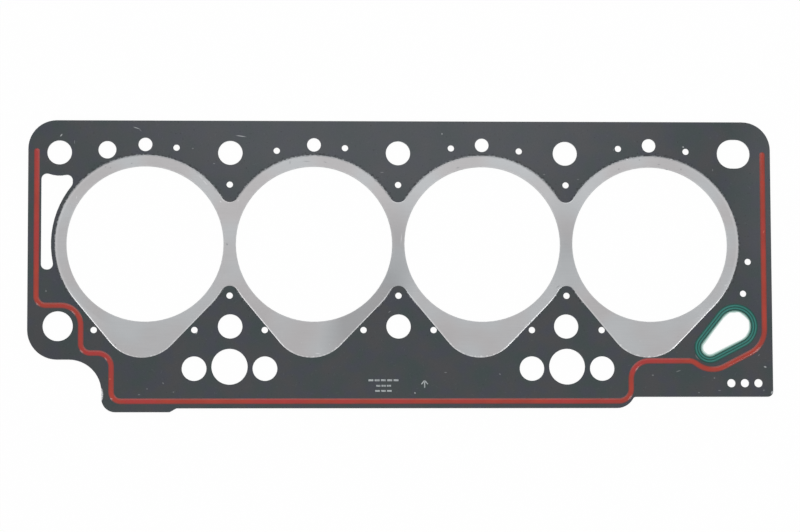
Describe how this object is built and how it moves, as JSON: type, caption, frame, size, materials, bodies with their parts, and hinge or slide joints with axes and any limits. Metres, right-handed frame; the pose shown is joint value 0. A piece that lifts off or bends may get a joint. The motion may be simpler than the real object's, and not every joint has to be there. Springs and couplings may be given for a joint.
{
  "type": "cylinder head gasket",
  "caption": "Flat composite cylinder head gasket with a folded steel armour round its cylinder bores, raised silicone lines along its edge and a moulded rubber seal round its oil passage.",
  "frame": {"origin": "on the deck side face of the lower facing, midway along the row of cylinder bores, on the line through their centres", "axes": "+X along the row of bores, towards the end with the oil passage; +Y across, towards the straight edge with the vents; +Z out of the head side, the side marked as the top"},
  "size_m": [0.3934, 0.1545, 0.002],
  "materials": {
    "core_steel": "thin cold rolled carrier sheet, seen only at cut edges",
    "fibre_facing": "matt dark grey fibre facing with a faint mottled grain",
    "armour_steel": "smooth satin sheet steel",
    "red_silicone": "satin red silicone",
    "green_rubber": "satin dark green rubber"
  },
  "bodies": {
    "root": {"steel_core": "core_steel", "upper_facing": "fibre_facing", "lower_facing": "fibre_facing", "bore_armour": "armour_steel", "perimeter_bead_upper": "red_silicone", "perimeter_bead_lower": "red_silicone", "oil_passage_seal": "green_rubber"}
  },
  "joints": []
}
